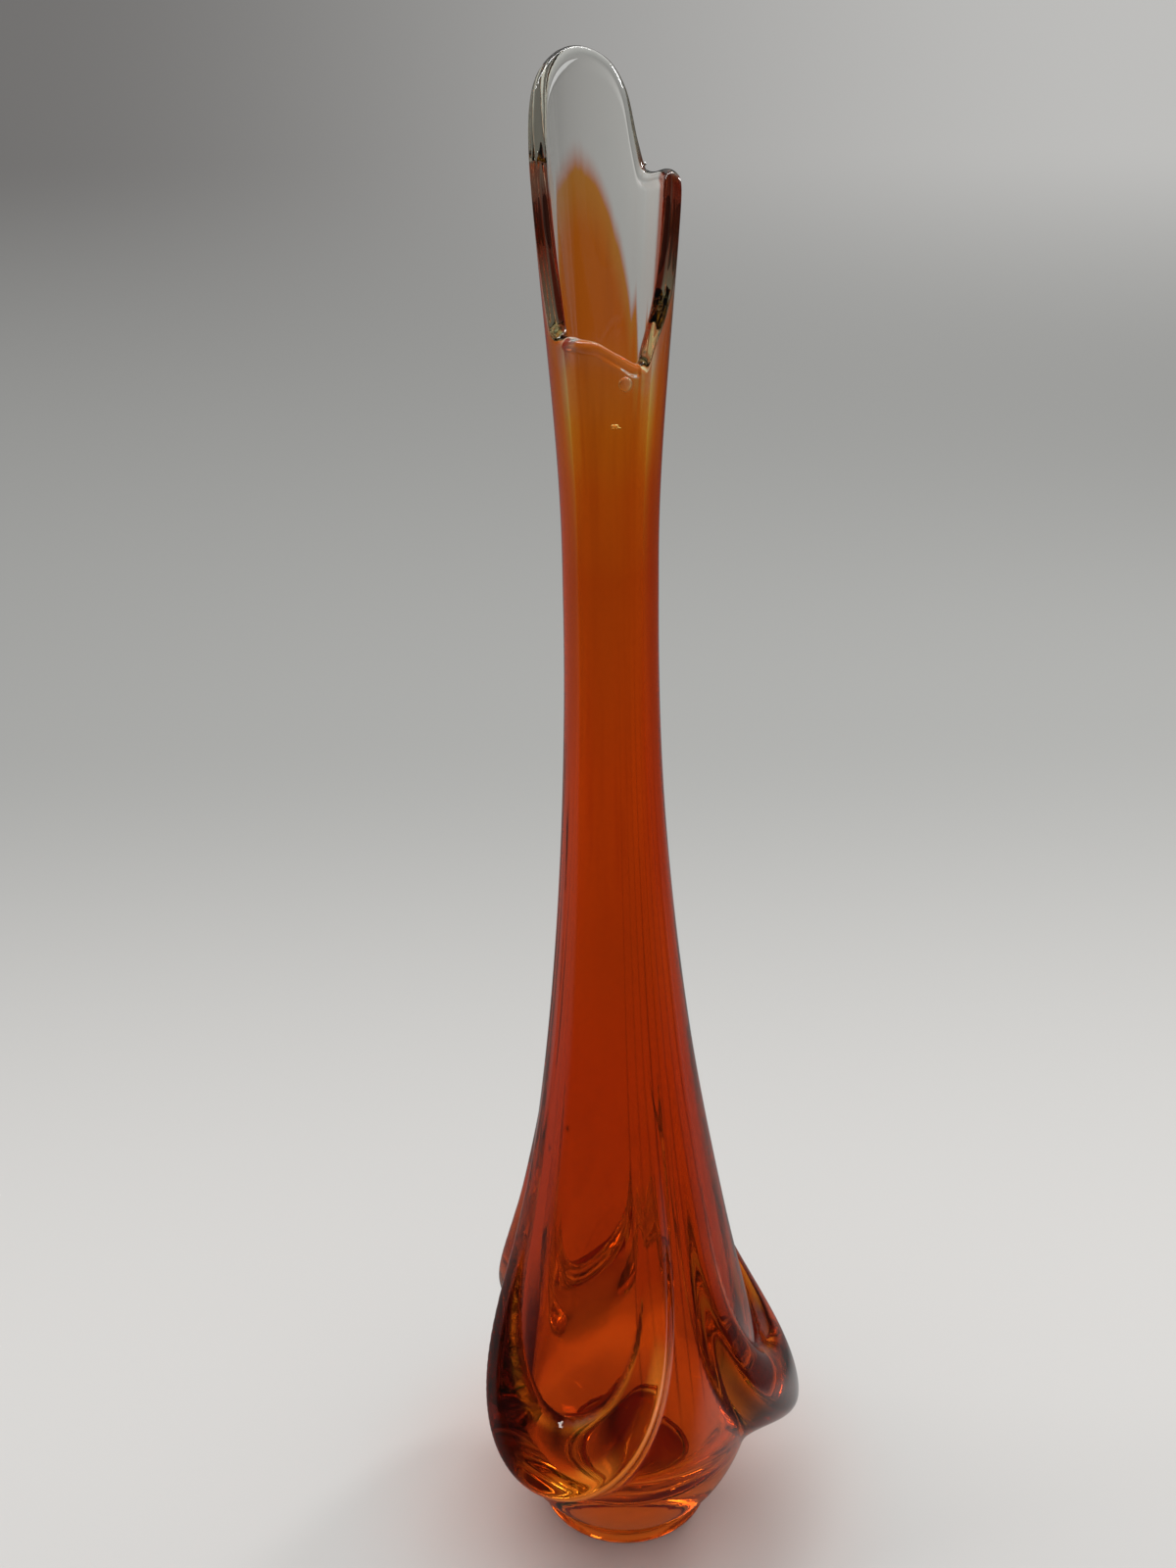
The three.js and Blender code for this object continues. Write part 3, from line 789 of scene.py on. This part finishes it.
# How dim the glass mirrors it, at its face and within; only a spot to the vase's right is mirrored in full
MIRRORED_BACK = (0.16, 0.155, 0.15)
MIRRORED_RIGHT = (0.05, 0.045, 0.04)
MIRRORED_RIGHT_OUT = (0.2, 0.6)
MIRRORED_FRONT = (0.07, 0.035, 0.03)
MIRRORED_FRONT_OUT = (-0.02, -0.12)
MIRRORED_WITHIN = (0.15, 0.145, 0.14)
MIRRORED_WITHIN_OUT = (-0.05, -0.20)
BRIGHT_SPOT = (0.13, 0)
BRIGHT_SPOT_OUT = (0.05, 0.11)

# How bright it shows through the glass, as painted light: brighter round the foot, and a painted glow under
# the front lip, standing in for light that the lip would gather there
FLOOR_PAINTED_LIGHT_THROUGH_GLASS = (1.0, 0.95, 0.90)
THROUGH_GLASS_IN = (0.10, 0.05)
LIP_PAINTED_GLOW = (1.0, 0.92, 0.80, 1)
LIP_PAINTED_GLOW_PLACE = (-0.026, -0.052)
LIP_PAINTED_GLOW_IN = (0.055, 0.025)


def distance(side, depth, middle):
    """How far a place on the floor lies from another."""
    across, along = side - middle[0], depth - middle[1]
    return (across * across + along * along) ** 0.5


def floor_material():
    """Pale floor with painted shade graded to the back and far left, lighter far right and a warm painted
    glow round the foot; the glass mirrors it dimly, and through the glass it is painted brighter round the
    foot, with a painted glow under the front lip.
    """
    material, tree = new_material("pale_floor")
    side, depth, _ = parts(make(tree, "ShaderNodeTexCoord", output="Object"))
    # Painted shade: darker to the back and far to the left, lighter far to the right
    lit = mix_colours(depth.step(*BACK_FLOOR_OUT), NEAR_FLOOR, PAINTED_SHADE_BACK_FLOOR)
    slant = side / (depth.math("ABSOLUTE", depth) + 1.0)
    far = mix_colours(slant.step(*FAR_FLOOR_SLANT), PAINTED_SHADE_FAR_LEFT_FLOOR, FAR_RIGHT_FLOOR)
    graded = mix_colours(depth.step(*FAR_FLOOR_OUT), lit, far)
    around = distance(side, depth, (0, 0))
    # A warm painted glow round the foot, standing in for light that comes through the red glass
    glow_painted_floor = mix_colours(around.step(*PAINTED_GLOW_FLOOR_IN), graded, PAINTED_GLOW_FLOOR)

    # Painted light: the floor seen through the glass is brighter round the foot
    through = light_path(tree, "Is Transmission Ray")
    seen = mix_colours(through * around.step(*THROUGH_GLASS_IN), glow_painted_floor, FLOOR_PAINTED_LIGHT_THROUGH_GLASS)
    mirrored = mix_colours(side.step(*MIRRORED_RIGHT_OUT), MIRRORED_BACK, MIRRORED_RIGHT)
    mirrored = mix_colours(depth.step(*MIRRORED_FRONT_OUT), mirrored, MIRRORED_FRONT)
    at_face, within = mirrored_rays(tree)
    beyond = distance(side, depth, BRIGHT_SPOT).step(*BRIGHT_SPOT_OUT)
    faced = mix_colours(at_face * beyond, seen, mirrored)
    colour = mix_colours(within * depth.step(*MIRRORED_WITHIN_OUT), faced, MIRRORED_WITHIN)
    plain = make(tree, "ShaderNodeBsdfDiffuse", {}, {"Color": colour})
    # A painted glow under the front lip, seen only through the glass
    glow = make(tree, "ShaderNodeEmission", {}, {"Color": LIP_PAINTED_GLOW, "Strength": 1.0})
    near_lip = distance(side, depth, LIP_PAINTED_GLOW_PLACE).step(*LIP_PAINTED_GLOW_IN)
    shader = make(tree, "ShaderNodeMixShader", {}, {0: through * near_lip, 1: plain, 2: glow})
    make(tree, "ShaderNodeOutputMaterial", {}, {"Surface": shader})
    return material


def make_floor():
    mesh = bpy.data.meshes.new("floor")
    signs = ((-1, -1), (1, -1), (1, 1), (-1, 1))
    corners = [(FLOOR_HALF * x, FLOOR_HALF * y, FLOOR_LEVEL) for x, y in signs]
    mesh.from_pydata(corners, [], [(0, 1, 2, 3)])
    mesh.materials.append(floor_material())
    floor = bpy.data.objects.new("floor", mesh)
    bpy.context.scene.collection.objects.link(floor)


# Soft surroundings, brightest overhead, and how dimly the glass mirrors them but for a pale patch behind
SKY_LOW = (0.25, 0.25, 0.25)
SKY_HIGH = (1.0, 1.0, 1.0)
SKY_RISE = (-0.3, 1.0)
SKY_BACKWARD = 0.3
MIRRORED_ROOM = (0.04, 0.04, 0.04)
MIRRORED_PATCH = (0.60, 0.60, 0.59)
PATCH_UP = (0.20, 0.50)
PATCH_BACK = (0.0, 0.4)
DIM_FRONT = (0.1, -0.3)
DIM_LOW = (0.5, 0.2)


def make_world():
    """Soft pale surroundings, brightest overhead; the glass mirrors them dimly, as it would a room."""
    world = bpy.data.worlds.new("studio")
    bpy.context.scene.world = world
    world.use_nodes = True
    tree = world.node_tree
    tree.nodes.clear()
    _, depth, up = parts(make(tree, "ShaderNodeTexCoord", output="Generated"))
    sky = mix_colours((up + depth * SKY_BACKWARD).step(*SKY_RISE), SKY_LOW, SKY_HIGH)
    patch = up.step(*PATCH_UP) * depth.step(*PATCH_BACK)
    mirrored = mix_colours(patch, MIRRORED_ROOM, MIRRORED_PATCH)
    at_face, within = mirrored_rays(tree)
    dimmed = at_face + within * depth.step(*DIM_FRONT) * up.step(*DIM_LOW)
    colour = mix_colours(dimmed, sky, mirrored)
    light = make(tree, "ShaderNodeBackground", {}, {"Color": colour, "Strength": 1.0})
    make(tree, "ShaderNodeOutputWorld", {}, {"Surface": light})


# Softboxes, as name, place, what they point at, size in metres and power in watts
SOFTBOXES = (
    ("overhead_softbox", (-0.2, 0.35, 1.25), (0, 0.05, 0.1), (1.5, 0.12), 6),
    ("window_softbox", (0.85, 0.70, 0.90), (0, 0, 0.1), (0.22, 0.30), 4),
)


def add_softbox(name, place, target, size, power):
    lamp = bpy.data.lights.new(name, "AREA")
    lamp.shape = "RECTANGLE"
    lamp.size, lamp.size_y = size
    lamp.energy = power
    softbox = bpy.data.objects.new(name, lamp)
    bpy.context.scene.collection.objects.link(softbox)
    softbox.location = place
    softbox.rotation_euler = (Vector(target) - Vector(place)).to_track_quat("-Z", "Y").to_euler()
    softbox.visible_camera = False


# Camera, fitted to the outline in the photograph
CAMERA_PLACE = (-0.00941, -0.5204, 0.5308)
CAMERA_DOWN = math.radians(25.3)
CAMERA_ROLL = math.radians(0.948)
CAMERA_LENS = 43.3125
CAMERA_SENSOR = 36.0
CAMERA_CLIP_START = 0.01


def make_camera():
    data = bpy.data.cameras.new("camera")
    data.sensor_fit = "VERTICAL"
    data.sensor_height = CAMERA_SENSOR
    data.lens = CAMERA_LENS
    data.clip_start = CAMERA_CLIP_START
    camera = bpy.data.objects.new("camera", data)
    bpy.context.scene.collection.objects.link(camera)
    turn = Matrix.Rotation(math.pi / 2 - CAMERA_DOWN, 4, "X") @ Matrix.Rotation(-CAMERA_ROLL, 4, "Z")
    camera.matrix_world = Matrix.Translation(CAMERA_PLACE) @ turn
    bpy.context.scene.camera = camera


# Glass needs many bounces before a ray leaves it
GLASS_BOUNCES = 32
MIRROR_BOUNCES = 16


def set_light_paths():
    scene = bpy.context.scene
    scene.view_settings.view_transform = "Standard"
    scene.cycles.max_bounces = GLASS_BOUNCES
    scene.cycles.transmission_bounces = GLASS_BOUNCES
    scene.cycles.glossy_bounces = MIRROR_BOUNCES
    scene.cycles.transparent_max_bounces = MIRROR_BOUNCES


make_vase()
make_floor()
make_world()
for softbox in SOFTBOXES:
    add_softbox(*softbox)
make_camera()
set_light_paths()
